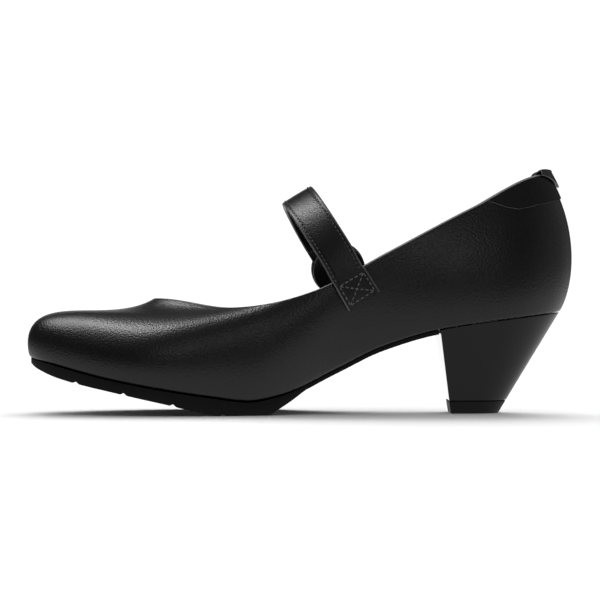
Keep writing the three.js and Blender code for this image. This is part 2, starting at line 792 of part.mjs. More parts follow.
function band(low, high) {
  const rows = (height) =>
    steps(24).map((t) => {
      const p = archPath.getPointAt(t);
      const along = archPath.getTangentAt(t);
      p.add(new THREE.Vector2(-along.y, along.x).multiplyScalar(height));
      const curved = 1 - THREE.MathUtils.smoothstep(t, 0, settle);
      return WIDE.map((w, i) => strapPoint(p.x + curved * quarterCurve[i], p.y, w));
    });
  return sheet(rows(high), rows(low));
}

function addTo(pivot, name, geometry, look) {
  const mesh = add(name, geometry, look, pivot);
  mesh.position.copy(pivot.getWorldPosition(new THREE.Vector3())).negate();
}

addTo(strapPivot, "strap_backing", band(0, strapBacking), finish.leather);
addTo(strapPivot, "strap_outer", band(strapBacking + clearance, strapThickness), finish.leather);

// The round end bends away from the ear about a line on the strap's outer face.
const peelPivot = new THREE.Group();
peelPivot.name = "peel_pivot";
peelPivot.position
  .set(tabAside, neckTop + clearance / 2, strapThickness)
  .applyMatrix4(tabFrame(outs[3]))
  .sub(strapHinge);
strapPivot.add(peelPivot);
addTo(peelPivot, "hook_patch", plateOn(disc(patchRadius), outs[2], stack[3]), finish.velcro);
addTo(peelPivot, "strap_tab_backing", plateOn(tabShape(), outs[3], strapBacking), finish.leather);
addTo(peelPivot, "strap_tab_outer", plateOn(tabShape(), outs[4], strapOuter), finish.leather);

// ---------------------------------------------------------------- origin

// The origin is on the floor, under the middle of the shoe's box.
const middleOf = new THREE.Box3().setFromObject(shoe, true).getCenter(new THREE.Vector3());
shoe.position.set(-middleOf.x, -middleOf.y, 0);

export default part;
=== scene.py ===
import math
import bpy
import numpy as np
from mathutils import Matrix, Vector


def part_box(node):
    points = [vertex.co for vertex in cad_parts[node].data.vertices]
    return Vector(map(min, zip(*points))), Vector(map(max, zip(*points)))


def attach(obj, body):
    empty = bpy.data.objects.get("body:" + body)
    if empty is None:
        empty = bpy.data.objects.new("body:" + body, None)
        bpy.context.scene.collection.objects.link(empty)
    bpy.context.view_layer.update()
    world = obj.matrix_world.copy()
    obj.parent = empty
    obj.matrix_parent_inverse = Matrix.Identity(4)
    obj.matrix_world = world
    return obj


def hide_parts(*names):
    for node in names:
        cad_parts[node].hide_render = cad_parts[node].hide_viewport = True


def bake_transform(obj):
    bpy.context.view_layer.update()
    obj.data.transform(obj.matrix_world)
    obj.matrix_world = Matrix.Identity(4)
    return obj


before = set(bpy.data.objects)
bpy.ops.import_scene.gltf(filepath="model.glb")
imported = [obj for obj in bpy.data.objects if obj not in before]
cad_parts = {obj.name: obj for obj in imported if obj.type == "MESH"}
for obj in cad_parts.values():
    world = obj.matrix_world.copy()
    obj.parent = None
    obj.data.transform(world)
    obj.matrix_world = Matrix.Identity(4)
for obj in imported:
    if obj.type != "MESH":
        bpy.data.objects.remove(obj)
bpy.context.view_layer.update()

# ---------------------------------------------------------------- upper
# The shell of the shoe is one piece of black calf with a fine pebble grain, pulled over the last
# and turned in under the insole all round. Its top edge is folded over the lining, and the fold
# is coloured a lighter grey as a painted highlight, the light its rounded edge catches; it shows
# as a thin line all round the opening.

LENGTH = 240.0
HALF_BALL = 41.0
HEEL_RISE = 37.2
TOE_RISE = 25.0
LEATHER = 1.0
LINING_FACE = 3.0
TURNED_IN = 12.0


def along(share):
    return (share - 0.5) * LENGTH


def through(values):
    """A smooth curve through values at equal steps from 0 to 1, even about both of its ends."""
    values = np.array(values, float)
    held = np.concatenate([values[1:2], values, values[-2:-1]])
    last = len(values) - 1

    def curve(share):
        t = np.clip(share, 0, 1) * last
        i = np.minimum(np.floor(t).astype(int), last - 1)
        k = t - i
        p, q, r, w = held[i], held[i + 1], held[i + 2], held[i + 3]
        return q + k / 2 * (r - p + k * (2 * p - 5 * q + 4 * r - w + k * (3 * (q - r) + w - p)))

    return curve


def outline(points):
    """A curve through points (x, z) that never overshoots them."""
    x, z = np.array(points, float).T
    slope = np.diff(z) / np.diff(x)
    lean = np.concatenate([slope[:1], np.zeros(len(x) - 2), slope[-1:]])
    same = slope[:-1] * slope[1:] > 0
    both = np.where(same, slope[:-1] + slope[1:], 1)
    lean[1:-1] = np.where(same, 2 * slope[:-1] * slope[1:] / both, 0)

    def curve(at):
        at = np.clip(at, x[0], x[-1])
        i = np.clip(np.searchsorted(x, at, side="right") - 1, 0, len(slope) - 1)
        step = x[i + 1] - x[i]
        k = (at - x[i]) / step
        rise = step * (lean[i] * k * (1 - k) ** 2 + lean[i + 1] * k * k * (k - 1))
        return z[i] + slope[i] * step * k * k * (3 - 2 * k) + rise

    return curve


def ease(value, low, high):
    t = np.clip((value - low) / (high - low), 0, 1)
    return t * t * (3 - 2 * t)


EDGE_BACK = along(0.977)
EDGE_FRONT = along(0.006)
HEEL_FRONT = EDGE_BACK - 53.8
ARCH_START = along(0.458)


def arch(share):
    return ARCH_START + share * (HEEL_FRONT - ARCH_START)


edge_height = outline([
    (EDGE_FRONT, TOE_RISE), (along(0.171), 6 + 0.364 * TOE_RISE),
    (along(0.342), 6 + 0.076 * TOE_RISE), (along(0.41), 6),
    (ARCH_START, 6 + 0.055 * HEEL_RISE), (arch(0.383), 0.555 * HEEL_RISE),
    (arch(0.638), 0.793 * HEEL_RISE), (HEEL_FRONT, HEEL_RISE), (EDGE_BACK, HEEL_RISE + 7.6),
])


def edge_x(share):
    return EDGE_BACK + (EDGE_FRONT - EDGE_BACK) * share


def above_edge(rises):
    return through([edge_height(edge_x(i / 5)) + rise for i, rise in enumerate(rises)])


def ring(back, front, inner, outer, height):
    """One line round the foot: a is 0 at the back and goes round by the inner side."""
    inner, outer = through(inner), through(outer)

    def point(a):
        share = (1 - np.cos(a)) / 2
        x = back + (front - back) * share
        wide = np.where(np.sin(a) >= 0, -inner(share), outer(share))
        y = wide * HALF_BALL * np.abs(np.sin(a)) ** 0.8 - 3 * ease(-x, 24, 108)
        return np.stack([x, y, height(share)], -1)

    return point


top_height = above_edge([59.9, 51.2, 48.6, 47.4, 32.9, 25.8])
top_drop = through([13.8, 13.5, 13, 10, 5, 14.6])
rings = [
    ring(EDGE_BACK, EDGE_FRONT, [0.975, 0.756, 0.546, 0.78, 1.063, 0.975],
         [0.975, 0.756, 0.695, 0.893, 1.049, 0.975], lambda s: edge_height(edge_x(s))),
    ring(along(0.999), along(-0.0065), [1.12, 0.86, 0.683, 0.941, 1.21, 1.12],
         [1.12, 0.86, 0.793, 1.03, 1.21, 1.12], lambda s: edge_height(edge_x(s)) + 9),
    ring(along(1.013), along(-0.003), [1.02, 0.876, 0.72, 0.917, 1.137, 1.02],
         [1.02, 0.876, 0.817, 0.99, 1.137, 1.02], above_edge([27, 25, 25, 23, 25, 33])),
    ring(along(0.9917), along(0.1417), [0.73, 0.756, 0.72, 0.78, 0.861, 0.73],
         [0.73, 0.756, 0.744, 0.829, 0.876, 0.73], lambda s: top_height(s) - top_drop(s)),
    ring(along(0.9555), along(0.2354), [0.66, 0.65, 0.68, 0.745, 0.78, 0.66],
         [0.66, 0.65, 0.71, 0.78, 0.79, 0.66], top_height),
]


def wall(a, v):
    """The upper's outer face: v is 0 at the sole and 1 at the opening."""
    a, v = np.broadcast_arrays(np.asarray(a, float), np.asarray(v, float))
    w = 1 - v
    shares = (w ** 4, 4 * w ** 3 * v, 6 * w * w * v * v, 4 * w * v ** 3, v ** 4)
    return sum(share[..., None] * line(a) for share, line in zip(shares, rings))


def per_rise(a):
    """The length of wall, in millimetres, that one unit of v stands for near the opening."""
    return np.linalg.norm(wall(a, 1.0) - wall(a, 0.99), axis=-1) / 0.01


def unit(vectors):
    return vectors / np.maximum(np.linalg.norm(vectors, axis=-1, keepdims=True), 1e-12)


def wall_out(a, v):
    low, high = np.maximum(v - 1e-3, 0), np.minimum(v + 1e-3, 1)
    return unit(np.cross(wall(a, high) - wall(a, low), wall(a + 1e-3, v) - wall(a - 1e-3, v)))


def layer(a, v, depth):
    """A point under the outer face by depth, or over it where depth is negative."""
    a, v, depth = np.broadcast_arrays(*(np.asarray(value, float) for value in (a, v, depth)))
    return wall(a, v) - wall_out(a, v) * depth[..., None]


def sole_edge(a, inset, height):
    """The upper's lower edge moved in by inset in the plan, at a height that follows X."""
    edge = rings[0](a)
    run = rings[0](a + 1e-3) - rings[0](a - 1e-3)
    run[..., 2] = 0
    run = unit(run)
    x = edge[..., 0] + run[..., 1] * inset
    y = edge[..., 1] - run[..., 0] * inset
    return np.stack([x, y, height(x)], -1)


def over_edge(rise):
    return lambda x: edge_height(x) + rise


cad_steps = 2 * np.pi * np.arange(60) / 60
cad_rises = np.array([0, 0.05, 0.12, 0.22, 0.34, 0.48, 0.63, 0.78, 0.9, 1])
cad_wall = wall(cad_steps[:, None], cad_rises[None]).reshape(-1, 3)
low_corner, high_corner = (np.array(corner) * 1000 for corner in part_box("upper_leather"))
moved = (low_corner + high_corner - cad_wall.min(0) - cad_wall.max(0)) / 2
moved[2] = 0


def in_metres(point):
    """A point of the last's own millimetres in the frame's metres."""
    return ((np.asarray(point) + moved) / 1000).tolist()


def solid(name, points, faces, looks, look_of=None, smooth=True):
    """A mesh object from points in the last's own millimetres."""
    mesh = bpy.data.meshes.new(name)
    mesh.from_pydata(in_metres(points), [], faces)
    for look in looks:
        mesh.materials.append(look)
    if look_of is not None:
        mesh.polygons.foreach_set("material_index", look_of)
    mesh.polygons.foreach_set("use_smooth", [smooth] * len(mesh.polygons))
    mesh.validate()
    mesh.update()
    piece = bpy.data.objects.new(name, mesh)
    bpy.context.scene.collection.objects.link(piece)
    return piece


def woven(name, rows, looks, look_at=None, ring_rows=False, ends=True):
    """A closed body from rows of points, each row a closed line round the body's section."""
    rows = np.asarray(rows, float)
    count, around = rows.shape[:2]
    spans = count if ring_rows else count - 1
    faces, kinds = [], []
    for i in range(spans):
        here, there = i * around, (i + 1) % count * around
        for j in range(around):
            k = (j + 1) % around
            faces.append((here + j, there + j, there + k, here + k))
            kinds.append(0 if look_at is None else int(look_at[j]))
    points = rows.reshape(-1, 3)
    if not ring_rows and ends:
        for first, turn in ((0, 1), (count - 1, -1)):
            middle = rows[first].mean(0)
            base = len(points)
            points = np.vstack([points, rows[first], middle])
            for j in range(around):
                pair = (base + j, base + (j + 1) % around)[::turn]
                faces.append((*pair, base + around))
                kinds.append(0)
    return solid(name, points, faces, looks, kinds)


def outward_faces(piece):
    """Turns the piece's faces so that they look out."""
    bpy.context.view_layer.objects.active = piece
    piece.select_set(True)
    bpy.ops.object.mode_set(mode="EDIT")
    bpy.ops.mesh.select_all(action="SELECT")
    bpy.ops.mesh.normals_make_consistent(inside=False)
    bpy.ops.object.mode_set(mode="OBJECT")
    piece.select_set(False)
    return piece


def finish(name, deep, raised, rough, marks, **sockets):
    """A material from layered marks, each (kind, size in mm, stretch, tint, relief in mm).
    Its colour runs from deep to raised, and its roughness over rough, with the marks' tint."""
    made = bpy.data.materials.new(name)
    made.use_nodes = True
    nodes, links = made.node_tree.nodes, made.node_tree.links
    shader = nodes["Principled BSDF"]
    for socket, value in sockets.items():
        shader.inputs[socket.replace("_", " ")].default_value = value
    place = nodes.new("ShaderNodeTexCoord").outputs["Object"]
    total, normal = None, None
    for kind, size, stretch, tint, relief in marks:
        turn = nodes.new("ShaderNodeMapping")
        turn.inputs["Scale"].default_value = [1000 / size / s for s in stretch]
        links.new(place, turn.inputs["Vector"])
        if kind == "pebble":
            texture = nodes.new("ShaderNodeTexVoronoi")
            texture.feature = "SMOOTH_F1"
            texture.inputs["Smoothness"].default_value = 0.35
            height = texture.outputs["Distance"]
        elif kind == "thread":
            texture = nodes.new("ShaderNodeTexWave")
            texture.inputs["Distortion"].default_value = 0.6
            height = texture.outputs["Fac"]
        else:
            texture = nodes.new("ShaderNodeTexNoise")
            texture.inputs["Detail"].default_value = 3 if kind == "cloud" else 6
            height = texture.outputs["Fac"]
        texture.inputs["Scale"].default_value = 1
        links.new(turn.outputs["Vector"], texture.inputs["Vector"])
        if tint:
            share = nodes.new("ShaderNodeMath")
            share.operation = "MULTIPLY_ADD"
            share.inputs[1].default_value = tint
            share.inputs[2].default_value = 0.5 - tint / 2 if total is None else -tint / 2
            links.new(height, share.inputs[0])
            if total is not None:
                sum_up = nodes.new("ShaderNodeMath")
                links.new(total, sum_up.inputs[0])
                links.new(share.outputs[0], sum_up.inputs[1])
                total = sum_up.outputs[0]
            else:
                total = share.outputs[0]
        if relief:
            bump = nodes.new("ShaderNodeBump")
            bump.inputs["Distance"].default_value = abs(relief) / 1000
            bump.invert = relief < 0
            links.new(height, bump.inputs["Height"])
            if normal is not None:
                links.new(normal, bump.inputs["Normal"])
            normal = bump.outputs["Normal"]
    ramp = nodes.new("ShaderNodeValToRGB")
    ramp.color_ramp.elements[0].color = (*deep, 1)
    ramp.color_ramp.elements[1].color = (*raised, 1)
    links.new(total, ramp.inputs["Fac"])
    links.new(ramp.outputs["Color"], shader.inputs["Base Color"])
    spread = nodes.new("ShaderNodeMapRange")
    spread.inputs["To Min"].default_value = rough[0]
    spread.inputs["To Max"].default_value = rough[1]
    links.new(total, spread.inputs["Value"])
    links.new(spread.outputs["Result"], shader.inputs["Roughness"])
    if normal is not None:
        links.new(normal, shader.inputs["Normal"])
    return made


EVEN = (1, 1, 1)
PORES = ("pore", 0.35, EVEN, 0.3, 0.02)
CALF_GRAIN = [("cloud", 14, EVEN, 0.35, 0), ("pebble", 0.85, EVEN, -0.5, -0.085), PORES]
calf = finish(
    "black_calf", (0.0016, 0.0013, 0.0015), (0.0075, 0.0062, 0.0068), (0.39, 0.29), CALF_GRAIN,
    Specular_IOR_Level=0.3,
)
# The fold's lighter grey is painted highlight, standing for the light caught by the rounded top edge.
fold_highlight_paint = finish(
    "painted_highlight_grey_fold", (0.10, 0.096, 0.10), (0.26, 0.25, 0.26), (0.5, 0.38),
    [("cloud", 5, EVEN, 0.5, 0), ("pore", 0.4, EVEN, 0.3, 0.02)], Specular_IOR_Level=0.25,
)

FOLD_HALF, FOLD_RISE = 1.5, 1.5
around = 2 * np.pi * np.arange(288) / 288
rise_per_v = per_rise(around)
fold_v = 1 - 0.9 / rise_per_v
fold_out = 0.45 * ease(1 - np.abs(np.angle(np.exp(1j * around))) / 0.87, 0, 0.12)

rows = []
margin = [sole_edge(around, inset, over_edge(0)) for inset in (TURNED_IN, 6, 2.5, 0.8)]
foot_out = wall_out(around, np.zeros_like(around))
foot = rings[0](around)
margin.append(foot + foot_out * -0.12 + np.array([0, 0, 0.1]))
face = [layer(around, fold_v * share, 0) for share in np.linspace(0, 1, 46)[1:] ** 0.97]
centre = layer(around, fold_v, FOLD_HALF - fold_out / 2)
up_dir = unit(wall(around, fold_v) - wall(around, fold_v - 0.02))
out_dir = wall_out(around, fold_v)
fold = []
for turn in np.linspace(0, np.pi, 11)[1:]:
    half = (FOLD_HALF + fold_out / 2)[:, None]
    fold.append(centre + out_dir * half * math.cos(turn) + up_dir * FOLD_RISE * math.sin(turn))
inner_face = [layer(around, fold_v - drop / rise_per_v, LINING_FACE) for drop in (0.5, 1.2)]
inner_face += [layer(around, fold_v - 1.3 / rise_per_v, 2.6)]
flesh_v = fold_v - 3 / rise_per_v
back = [layer(around, flesh_v * share, LEATHER) for share in np.linspace(1, 0.05, 24)]
under = [sole_edge(around, inset, over_edge(LEATHER)) for inset in (1.2, 6, TURNED_IN)]
section = np.stack(margin + face + fold + inner_face + back + under, 1)
kinds = np.zeros(section.shape[1], int)
first = len(margin) + len(face)
kinds[first:first + len(fold) + 1] = 1
upper = outward_faces(woven("upper", section, [calf, fold_highlight_paint], kinds, ring_rows=True))
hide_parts("upper_leather")
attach(upper, "shoe")

# ---------------------------------------------------------------- stiffeners
# Between the leather and the lining lie a heel counter, a toe puff and a light interlining on
# each side. They are cut from a resin-dipped cloth, softened in heat and set hard on the last.

stiffener_cloth = finish(
    "resin_dipped_cloth", (0.32, 0.28, 0.21), (0.66, 0.60, 0.49), (0.95, 0.8),
    [("thread", 1.1, (1, 30, 30), 0.4, 0.06), ("thread", 1.1, (30, 30, 1), 0.3, 0.06),
     ("cloud", 6, EVEN, 0.25, 0)],
)


def dress(name, look):
    """Gives a carried-over part its material."""
    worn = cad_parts[name].data.materials
    worn.clear()
    worn.append(look)


for name in ("heel_counter", "toe_puff", "medial_interlining", "lateral_interlining"):
    dress(name, stiffener_cloth)

# ---------------------------------------------------------------- linings
# The inside is lined with thin kid: one piece round the quarters and one in the vamp, joined by
# a stitched seam on each side. The quarters' edge is held by a row of stitches under the fold.

kid_lining = finish(
    "dark_kid_lining", (0.020, 0.018, 0.018), (0.055, 0.050, 0.048), (0.75, 0.6),
    [("cloud", 9, EVEN, 0.4, 0), ("pebble", 0.5, EVEN, -0.25, -0.02), ("pore", 0.25, EVEN, 0.3, 0.015)],
)
thread_black = finish(
    "waxed_black_thread", (0.008, 0.008, 0.008), (0.05, 0.05, 0.052), (0.6, 0.45),
    [("thread", 0.5, (1, 1, 1), 0.7, 0.03)],
)


def sheet(name, outer, inner, looks, edge=0, soft=0.2):
    """A closed sheet between two grids of points, with its rim rounded by soft."""
    outer, inner = np.asarray(outer, float), np.asarray(inner, float)
    count, wide = outer.shape[:2]
    section = np.concatenate([outer, inner[:, ::-1]], 1)
    kinds = np.zeros(2 * wide, int)
    kinds[wide - 1] = kinds[2 * wide - 1] = edge
    points = section.reshape(-1, 3)
    faces, look = [], []
    for i in range(count - 1):
        for j in range(2 * wide):
            k = (j + 1) % (2 * wide)
            here, there = i * 2 * wide, (i + 1) * 2 * wide
            faces.append((here + j, there + j, there + k, here + k))
            look.append(kinds[j])
    for i, turn in ((0, 1), (count - 1, -1)):
        start = i * 2 * wide
        for j in range(wide - 1):
            k = 2 * wide - 1 - j
            faces.append(tuple(start + n for n in (j, j + 1, k - 1, k))[::turn])
            look.append(edge)
    piece = outward_faces(solid(name, points, faces, looks, look))
    return rounded(piece, soft) if soft else piece


def rounded(piece, width, steps=3, angle=50):
    """Rounds the piece's sharp edges, with the result kept in its mesh."""
    bevel = piece.modifiers.new("rounded", "BEVEL")
    bevel.width = width / 1000
    bevel.segments = steps
    bevel.limit_method = "ANGLE"
    bevel.angle_limit = math.radians(angle)
    bevel.harden_normals = False
    shaped = piece.evaluated_get(bpy.context.evaluated_depsgraph_get())
    mesh = bpy.data.meshes.new_from_object(shaped)
    piece.modifiers.clear()
    piece.data = mesh
    return piece


def stitches(name, starts, ends, outs, looks, thick=0.55):
    """A row of stitches, each a short bent rod of thread from start to end, raised at its middle."""
    starts, ends, outs = (np.asarray(value, float) for value in (starts, ends, outs))
    points, faces = [], []
    for a, b, out in zip(starts, ends, outs):
        run = unit(b - a)
        side = np.cross(out, run)
        base = len(points)
        for share, size in ((0, 0.35), (0.12, 0.8), (0.35, 1), (0.65, 1), (0.88, 0.8), (1, 0.35)):
            middle = a + (b - a) * share + out * (0.30 * thick * math.sin(math.pi * share) - 0.05)
            for turn in np.arange(6) * np.pi / 3:
                spoke = side * math.cos(turn) + out * math.sin(turn)
                points.append(middle + spoke * size * thick / 2)
        for i in range(5):
            for j in range(6):
                k = (j + 1) % 6
                faces.append((base + 6 * i + j, base + 6 * i + k, base + 6 * i + 6 + k, base + 6 * i + 6 + j))
        faces.append(tuple(base + j for j in range(6))[::-1])
        faces.append(tuple(base + 30 + j for j in range(6)))
    return outward_faces(solid(name, points, faces, looks))


SEAM = 2 * np.pi * 19 / 60
LINING_BACK = 2.3
for name, node, first, last in (
    ("quarter_lining_kid", "quarter_lining", -SEAM + 0.002, SEAM - 0.002),
    ("vamp_lining_kid", "vamp_lining", SEAM + 0.002, 2 * np.pi - SEAM - 0.002),
):
    turns = np.linspace(first, last, 150)
    tops = 1 - 1.4 / per_rise(turns)
    rises = 0.05 + (tops[:, None] - 0.05) * np.linspace(0, 1, 34)[None]
    lining = sheet(
        name, layer(turns[:, None], rises, LINING_BACK), layer(turns[:, None], rises, LINING_FACE),
        [kid_lining], soft=0.12,
    )
    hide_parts(node)
    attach(lining, "shoe")


def row_along(points, outs, pitch, share):
    """Splits a line of points into stitches of one pitch, and gives their ends and outward ways."""
    points, outs = np.asarray(points, float), np.asarray(outs, float)
    run = np.concatenate([[0], np.cumsum(np.linalg.norm(np.diff(points, axis=0), axis=1))])
    count = max(1, round(run[-1] / pitch))
    marks = (np.arange(count) + 0.5) * run[-1] / count
    half = run[-1] / count * share / 2
    pick = lambda at, values: np.stack([np.interp(at, run, values[:, k]) for k in range(3)], -1)
    return pick(marks - half, points), pick(marks + half, points), unit(pick(marks, outs))


def joined(rows):
    """The starts, ends and outward ways of several rows of stitches, as one row."""
    return (np.concatenate(part) for part in zip(*rows))


THREAD_ON = LINING_FACE + 0.02
turns = np.linspace(-np.pi, np.pi, 600)
rim_v = 1 - 3.4 / per_rise(turns)
row = row_along(layer(turns, rim_v, THREAD_ON), -wall_out(turns, rim_v), 2.3, 0.72)
lining_row = stitches("lining_stitches", *row, [thread_black], 0.45)
seam_v = np.linspace(0.08, 0.9, 80)
seam_rows = []
for sign in (1, -1):
    for aside in (-0.018, 0.018):
        at = np.full_like(seam_v, sign * SEAM + aside)
        seam_rows.append(row_along(layer(at, seam_v, THREAD_ON), -wall_out(at, seam_v), 2.3, 0.7))
seam_row = stitches("lining_seam_stitches", *joined(seam_rows), [thread_black], 0.45)
for piece in (lining_row, seam_row):
    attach(piece, "shoe")

# ---------------------------------------------------------------- back panel
# A thin overlay of the same calf wraps the top of the back. It is cut to a shallow wave, pared
# at its lower edge, cemented, and caught under the folded top edge.

panel_calf = finish(
    "panel_calf", (0.0013, 0.0011, 0.0012), (0.0055, 0.0047, 0.0052), (0.56, 0.46), CALF_GRAIN,
    Specular_IOR_Level=0.22,
)
cut_edge = finish(
    "pared_edge", (0.055, 0.052, 0.055), (0.17, 0.165, 0.17), (0.5, 0.4),
    [("cloud", 4, EVEN, 0.5, 0), ("pore", 0.4, EVEN, 0.3, 0.02)],
)
PANEL_TURN = math.radians(47.4)
panel_low = outline([(0, 0.834), (10, 0.815), (22, 0.802), (29, 0.805), (36, 0.818),
                     (41, 0.868), (44.4, 0.926), (47.4, 0.985)])
turns = np.linspace(-PANEL_TURN, PANEL_TURN, 150)
tops = 1 - 0.8 / per_rise(turns)
lows = np.minimum(panel_low(np.degrees(np.abs(turns))), tops - 0.002)
rises = lows[:, None] + (tops - lows)[:, None] * np.linspace(0, 1, 14)[None]
panel = sheet(
    "back_panel_calf", layer(turns[:, None], rises, -0.62), layer(turns[:, None], rises, 0.05),
    [panel_calf, cut_edge], 1, 0.22,
)
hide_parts("back_panel")
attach(panel, "shoe")

# ---------------------------------------------------------------- heel tab
# A short pull of calf is folded over the top edge at the very back, from the outside to the
# lining, and stitched through. Its two sides run down to a blunt point.

TAB_TURN = math.radians(19)
tab_low = outline([(0, 0.893), (3.5, 0.902), (8, 0.928), (12, 0.953), (16, 0.975), (19, 0.987)])
turns = np.linspace(-TAB_TURN, TAB_TURN, 60)


def tab_rows(grow):
    low = tab_low(np.degrees(np.abs(turns)))
    outer, inner = -1.5 - grow, 3.3 + grow
    rows = [layer(turns, low + (1 - low) * share, outer + 0.25 * (1 - share))
            for share in np.linspace(0, 0.97, 9)]
    middle = layer(turns, 1.0, (outer + inner) / 2)
    out = wall_out(turns, 1.0)
    for turn in np.linspace(0, np.pi, 13):
        reach = (inner - outer) / 2
        flat = np.sign(math.cos(turn)) * abs(math.cos(turn)) ** 0.7
        rise = (1.2 + grow + 0.5 * ease(np.abs(turns), 0.1, 0.3)) * math.sin(turn) ** 0.7
        rows.append(middle + out * reach * flat + np.array([0, 0, 1.0]) * rise[:, None])
    rows += [layer(turns, 1 - 0.09 * share, inner) for share in (0.3, 0.6, 1)]
    return np.stack(rows, 1)


tab = sheet("heel_tab_calf", tab_rows(0.6), tab_rows(0), [calf, cut_edge], 1, 0.2)
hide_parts("heel_tab")
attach(tab, "shoe")

# ---------------------------------------------------------------- insole board and shank
# Under the foot a fibre board carries everything: the upper is cemented to its underside, a
# spring steel shank is riveted along the arch, and foam fills the hollow inside the margin.

fibreboard = finish(
    "pressed_fibreboard", (0.20, 0.12, 0.055), (0.46, 0.32, 0.18), (0.95, 0.8),
    [("cloud", 3, (3, 1, 1), 0.5, 0.05), ("pore", 0.5, EVEN, 0.4, 0.05)],
)
spring_steel = finish(
    "brushed_steel", (0.36, 0.36, 0.37), (0.66, 0.66, 0.67), (0.42, 0.25),
    [("cloud", 0.5, (40, 1, 1), 0.5, 0.01), ("cloud", 8, EVEN, 0.3, 0)], Metallic=1.0,
)
foam = finish(
    "cell_foam", (0.55, 0.52, 0.44), (0.86, 0.83, 0.76), (1.0, 0.9),
    [("pebble", 1.0, EVEN, 0.6, -0.3), ("pore", 0.4, EVEN, 0.2, 0.05)],
)
dress("insole_board", fibreboard)
for name in ("bottom_filler", "footbed_foam"):
    dress(name, foam)
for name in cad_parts:
    if name.startswith(("shank", "heel_screw", "heel_nail", "top_piece_pin")):
        dress(name, spring_steel)

# ---------------------------------------------------------------- sock liner
# A kid sock is cemented over the foam footbed. Its edge is soft and its top dips a little
# towards the middle where the foot presses.


def foot_plate(inset, low, high, angles, across, crown=None):
    """Two grids for a plate under the foot: rows from side to side at the given angles."""
    grids = []
    for height in (high, low):
        rows = []
        for a in angles:
            gap = inset(rings[0](np.array([a]))[0, 0])
            left, right = sole_edge(np.array([a, 2 * np.pi - a]), gap, height)
            shares = (1 - np.cos(np.pi * np.linspace(0, 1, across))) / 2
            row = left + (right - left) * shares[:, None]
            if crown is not None:
                row[:, 2] += crown(np.abs(2 * shares - 1), left[0])
            rows.append(row)
        grids.append(rows)
    return grids


SOCK_INSET, SOCK_LOW, SOCK_TOP, SOCK_DIP = 3.3, 6.4, 7.2, 0.5
tip_angles = np.pi * (1 - (1 - np.cos(np.pi * np.linspace(0.035, 0.965, 110))) / 2)[::-1]
sock = sheet(
    "sock_liner_kid",
    *foot_plate(lambda x: SOCK_INSET, over_edge(SOCK_LOW), over_edge(SOCK_TOP), tip_angles, 25,
                lambda out, x: -SOCK_DIP * (1 - out ** 2)),
    [kid_lining], soft=0.3,
)
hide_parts("sock_liner")
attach(sock, "shoe")

# ---------------------------------------------------------------- outsole
# A moulded black rubber sole is cemented on. It stands a little proud of the upper round the
# forepart, is set in and thin under the arch, and has four shallow grooves across its tread.

rubber = finish(
    "matt_black_rubber", (0.0016, 0.0014, 0.0016), (0.0065, 0.006, 0.0065), (0.66, 0.5),
    [("cloud", 7, EVEN, 0.4, 0), ("pore", 0.5, EVEN, 0.4, 0.03)],
    Specular_IOR_Level=0.14,
)
TREAD_FLAT = (along(0.36), along(0.442))
WAIST = arch(0.176)
WAIST_THICK = 2.3
tread_front = outline([
    (EDGE_FRONT, TOE_RISE - 3.2), (along(0.067), 0.636 * TOE_RISE), (along(0.18), 0.38 * TOE_RISE),
    (along(0.27), 0.184 * TOE_RISE), (along(0.333), 0.036 * TOE_RISE), (TREAD_FLAT[0], 0),
    (TREAD_FLAT[1], 0), (along(0.463), 2.8), (along(0.482), 5.7), (WAIST, edge_height(WAIST) - WAIST_THICK),
])
GROOVES = along(0.1) + 21 * np.arange(4)
GROOVE_DEEP, GROOVE_HALF = 0.95, 1.35


def tread(x):
    plain = np.where(x < WAIST, tread_front(x), edge_height(x) - WAIST_THICK)
    nearest = np.abs(np.asarray(x)[..., None] - GROOVES).min(-1)
    nose = 1.3 * ease(-x, 112, 119.5) ** 2
    return plain + GROOVE_DEEP * np.clip(1 - nearest / GROOVE_HALF, 0, 1) + nose


def sole_inset(x):
    waist = ease(x, TREAD_FLAT[1], arch(0.35))
    return -0.7 + 2.7 * waist + 1.3 * ease(-x, -along(0.06), -EDGE_FRONT)


def angle_at(x):
    return np.arccos(np.clip(1 - 2 * (x - EDGE_BACK) / (EDGE_FRONT - EDGE_BACK), -1, 1))


stations = [HEEL_FRONT - 0.6 - i * 2.2 for i in range(82)]
stations = [x for x in stations if x > EDGE_FRONT + 6 and np.abs(x - GROOVES).min() > 2.2]
for groove in GROOVES:
    stations += [groove + shift for shift in (-2.0, -1.35, -0.7, -0.25, 0, 0.25, 0.7, 1.35, 2.0)]
stations += [EDGE_FRONT + 6 * share ** 2.2 for share in np.linspace(0.06, 1, 12)]
sole_angles = angle_at(np.array(sorted(stations, reverse=True)))
sole = sheet(
    "outsole_rubber",
    *foot_plate(sole_inset, tread, over_edge(-0.35), sole_angles, 27), [rubber], soft=0.35,
)
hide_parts("outsole")
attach(sole, "shoe")

# ---------------------------------------------------------------- heel
# The heel is a moulded block with a satin black cover, hollow-curved from the seat to its foot.
# Its front face is polished, and it is screwed and nailed up through the insole board.

heel_cover = finish(
    "satin_heel_cover", (0.003, 0.003, 0.0032), (0.009, 0.0088, 0.0092), (0.34, 0.24),
    [("cloud", 12, (1, 1, 3), 0.4, 0), ("pore", 0.6, EVEN, 0.25, 0.006)],
    Specular_IOR_Level=0.18,
)
heel_breast = finish(
    "polished_heel_front", (0.010, 0.010, 0.010), (0.022, 0.022, 0.023), (0.14, 0.08),
    [("cloud", 9, EVEN, 0.4, 0.01)], Coat_Weight=1.0, Coat_Roughness=0.06,
)
HEEL_STEPS = 40
FOOT_BACK, FOOT_LONG, FOOT_HALF = 5.3, 21.4, 10.5
SEAT_IN = 0.4
SEAT_ANGLE = float(angle_at(HEEL_FRONT))


